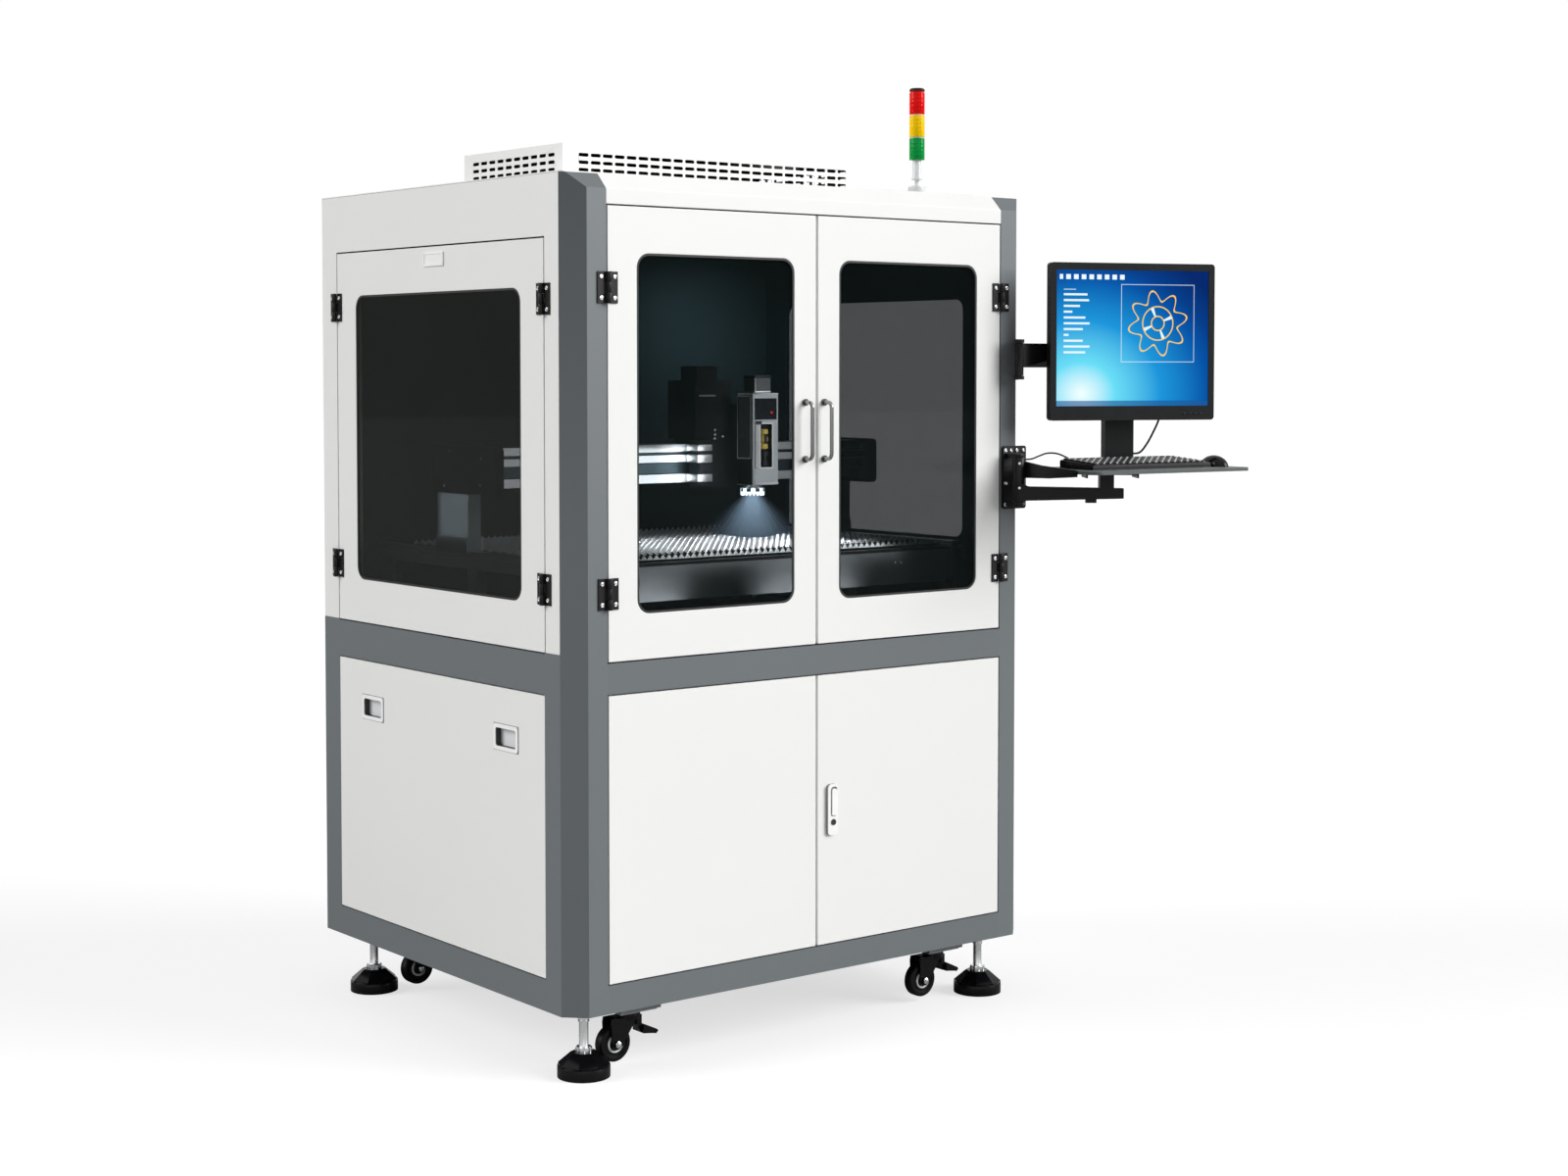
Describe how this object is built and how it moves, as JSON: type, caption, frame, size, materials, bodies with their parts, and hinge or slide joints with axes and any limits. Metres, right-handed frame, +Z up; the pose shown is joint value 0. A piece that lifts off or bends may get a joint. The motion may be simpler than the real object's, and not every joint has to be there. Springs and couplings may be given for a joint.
{
  "type": "laser engraving machine",
  "caption": "Enclosed laser engraver: chamfered steel cabinet with windowed doors over a toothed bed, gantry head, casters and levelling feet, and a swing-arm operator station.",
  "frame": {"origin": "middle of the bounding box in plan, on the floor under the levelling feet", "axes": "+X to the operator's right along the front, +Y from the front to the rear, +Z up"},
  "size_m": [1.665, 1.3506, 2.049],
  "materials": {
    "frame_grey": "satin powder coat",
    "chamber_black": "matte",
    "side_white": "satin powder coat",
    "front_white": "satin powder coat",
    "tinted_glass": "tinted, polished",
    "hinge_black": "satin",
    "zinc": "zinc plated",
    "lamp_white": "gloss",
    "signal_lens": "clear coloured, bands of green, amber and red",
    "bed_aluminium": "anodised",
    "slat_steel": "bright",
    "rail_steel": "ground",
    "station_black": "satin",
    "unit_grey": "matte",
    "handle_chrome": "polished",
    "lock_steel": "brushed",
    "caster_black": "satin",
    "caster_rubber": "matte",
    "foot_black": "satin",
    "gantry_aluminium": "anodised",
    "carriage_black": "matte",
    "head_silver": "satin",
    "ring_white": "translucent",
    "tray_grey": "satin",
    "monitor_black": "fine texture",
    "screen_blue": "lit display",
    "gloss_black": "gloss",
    "cable_black": "matte"
  },
  "bodies": {
    "cabinet": {"base_frame": "frame_grey", "chamber_lining": "chamber_black", "side_surround": "side_white", "fixed_panels": "side_white", "roof_hood": "front_white", "vent_box": "front_white", "right_window": "tinted_glass", "cabinet_hinge_leaves": "hinge_black", "caster_plates": "zinc", "lamp_pole": "lamp_white", "lamp_lenses": "signal_lens", "bed_frame": "bed_aluminium", "bed_slats": "slat_steel", "y_rails": "rail_steel", "arm_bracket": "station_black", "laser_source": "unit_grey"},
    "upper_left_leaf": {"upper_left_door": "front_white", "upper_left_window": "tinted_glass", "upper_left_handle": "handle_chrome", "upper_left_hinges": "hinge_black"},
    "upper_right_leaf": {"upper_right_door": "front_white", "upper_right_window": "tinted_glass", "upper_right_handle": "handle_chrome", "upper_right_hinges": "hinge_black"},
    "side_leaf": {"side_door": "side_white", "side_window": "tinted_glass", "side_door_hinges": "hinge_black"},
    "lower_left_leaf": {"lower_left_door": "front_white"},
    "lower_right_leaf": {"lower_right_door": "front_white", "lock_plate": "lock_steel"},
    "lock": {"lock_cylinder": "handle_chrome"},
    "side_panel": {"lift_out_panel": "side_white"},
    "gantry": {"gantry_beam": "gantry_aluminium"},
    "carriage": {"head_carriage": "carriage_black"},
    "head": {"laser_head": "head_silver", "led_ring": "ring_white"},
    "station": {"swing_arm": "station_black", "keyboard_tray": "tray_grey", "monitor_stay": "station_black", "monitor_stand": "monitor_black", "keyboard": "gloss_black", "mouse": "gloss_black", "monitor_cable": "cable_black", "keyboard_cable": "cable_black"},
    "display": {"monitor": "monitor_black", "screen": "screen_blue"},
    "fork_front_left": {"fork_front_left": "caster_black"},
    "wheel_front_left": {"wheel_front_left": "caster_rubber"},
    "foot_front_left": {"foot_front_left": "foot_black"},
    "fork_front_right": {"fork_front_right": "caster_black"},
    "wheel_front_right": {"wheel_front_right": "caster_rubber"},
    "foot_front_right": {"foot_front_right": "foot_black"},
    "fork_rear_left": {"fork_rear_left": "caster_black"},
    "wheel_rear_left": {"wheel_rear_left": "caster_rubber"},
    "foot_rear_left": {"foot_rear_left": "foot_black"},
    "fork_rear_right": {"fork_rear_right": "caster_black"},
    "wheel_rear_right": {"wheel_rear_right": "caster_rubber"},
    "foot_rear_right": {"foot_rear_right": "foot_black"},
    "pedal_left": {"pedal_left": "caster_black"},
    "pedal_right": {"pedal_right": "caster_black"}
  },
  "joints": [
    {"name": "upper_left_door_swing", "type": "hinge", "parent": "cabinet", "child": "upper_left_leaf", "pos_m": [-0.7325, -0.35865, 1.3], "axis": [0, 0, -1], "range_deg": [0, 110]},
    {"name": "upper_right_door_swing", "type": "hinge", "parent": "cabinet", "child": "upper_right_leaf", "pos_m": [0.3325, -0.35865, 1.3], "axis": [0, 0, 1], "range_deg": [0, 90]},
    {"name": "side_door_swing", "type": "hinge", "parent": "cabinet", "child": "side_leaf", "pos_m": [-0.827, -0.25715, 1.28], "axis": [0, 0, 1], "range_deg": [0, 100]},
    {"name": "lower_left_door_swing", "type": "hinge", "parent": "cabinet", "child": "lower_left_leaf", "pos_m": [-0.725, -0.34565, 0.49], "axis": [0, 0, -1], "range_deg": [0, 105]},
    {"name": "lower_right_door_swing", "type": "hinge", "parent": "cabinet", "child": "lower_right_leaf", "pos_m": [0.325, -0.34565, 0.49], "axis": [0, 0, 1], "range_deg": [0, 105]},
    {"name": "lock_turn", "type": "hinge", "parent": "lower_right_leaf", "child": "lock", "pos_m": [-0.1575, -0.35165, 0.462], "axis": [0, -1, 0], "range_deg": [0, 90]},
    {"name": "side_panel_lift_out", "type": "slide", "parent": "cabinet", "child": "side_panel", "axis": [-1, 0, 0], "range_m": [0, 0.3]},
    {"name": "gantry_travel", "type": "slide", "parent": "cabinet", "child": "gantry", "axis": [0, 1, 0], "range_m": [-0.23, 0.24]},
    {"name": "carriage_travel", "type": "slide", "parent": "gantry", "child": "carriage", "axis": [1, 0, 0], "range_m": [-0.46, 0.32]},
    {"name": "head_focus", "type": "slide", "parent": "carriage", "child": "head", "axis": [0, 0, 1], "range_m": [-0.06, 0.015]},
    {"name": "station_swing", "type": "hinge", "parent": "cabinet", "child": "station", "pos_m": [0.354, -0.39165, 1.176], "axis": [0, 0, 1], "range_deg": [-60, 12]},
    {"name": "monitor_tilt", "type": "hinge", "parent": "station", "child": "display", "pos_m": [0.61352, -0.45934, 1.48], "axis": [-0.9397, 0.342, 0], "range_deg": [-5, 15]},
    {"name": "swivel_front_left", "type": "hinge", "parent": "cabinet", "child": "fork_front_left", "pos_m": [-0.62, -0.25665, 0.102], "axis": [0, 0, 1], "continuous": true},
    {"name": "roll_front_left", "type": "hinge", "parent": "fork_front_left", "child": "wheel_front_left", "pos_m": [-0.66, -0.25665, 0.0495], "axis": [0, 1, 0], "continuous": true},
    {"name": "swivel_front_right", "type": "hinge", "parent": "cabinet", "child": "fork_front_right", "pos_m": [0.22, -0.25665, 0.102], "axis": [0, 0, 1], "continuous": true},
    {"name": "roll_front_right", "type": "hinge", "parent": "fork_front_right", "child": "wheel_front_right", "pos_m": [0.18, -0.25665, 0.0495], "axis": [0, 1, 0], "continuous": true},
    {"name": "swivel_rear_left", "type": "hinge", "parent": "cabinet", "child": "fork_rear_left", "pos_m": [-0.62, 0.54535, 0.102], "axis": [0, 0, 1], "continuous": true},
    {"name": "roll_rear_left", "type": "hinge", "parent": "fork_rear_left", "child": "wheel_rear_left", "pos_m": [-0.66, 0.54535, 0.0495], "axis": [0, 1, 0], "continuous": true},
    {"name": "swivel_rear_right", "type": "hinge", "parent": "cabinet", "child": "fork_rear_right", "pos_m": [0.22, 0.54535, 0.102], "axis": [0, 0, 1], "continuous": true},
    {"name": "roll_rear_right", "type": "hinge", "parent": "fork_rear_right", "child": "wheel_rear_right", "pos_m": [0.18, 0.54535, 0.0495], "axis": [0, 1, 0], "continuous": true},
    {"name": "pedal_left_press", "type": "hinge", "parent": "fork_front_left", "child": "pedal_left", "pos_m": [-0.604, -0.25665, 0.084], "axis": [0, 1, 0], "range_deg": [0, 20]},
    {"name": "pedal_right_press", "type": "hinge", "parent": "fork_front_right", "child": "pedal_right", "pos_m": [0.236, -0.25665, 0.084], "axis": [0, 1, 0], "range_deg": [0, 20]},
    {"name": "level_front_left", "type": "hinge", "parent": "cabinet", "child": "foot_front_left", "pos_m": [-0.742, -0.27365, 0.07], "axis": [0, 0, 1], "continuous": true},
    {"name": "level_front_right", "type": "hinge", "parent": "cabinet", "child": "foot_front_right", "pos_m": [0.342, -0.27365, 0.07], "axis": [0, 0, 1], "continuous": true},
    {"name": "level_rear_left", "type": "hinge", "parent": "cabinet", "child": "foot_rear_left", "pos_m": [-0.742, 0.59735, 0.07], "axis": [0, 0, 1], "continuous": true},
    {"name": "level_rear_right", "type": "hinge", "parent": "cabinet", "child": "foot_rear_right", "pos_m": [0.342, 0.59735, 0.07], "axis": [0, 0, 1], "continuous": true}
  ]
}
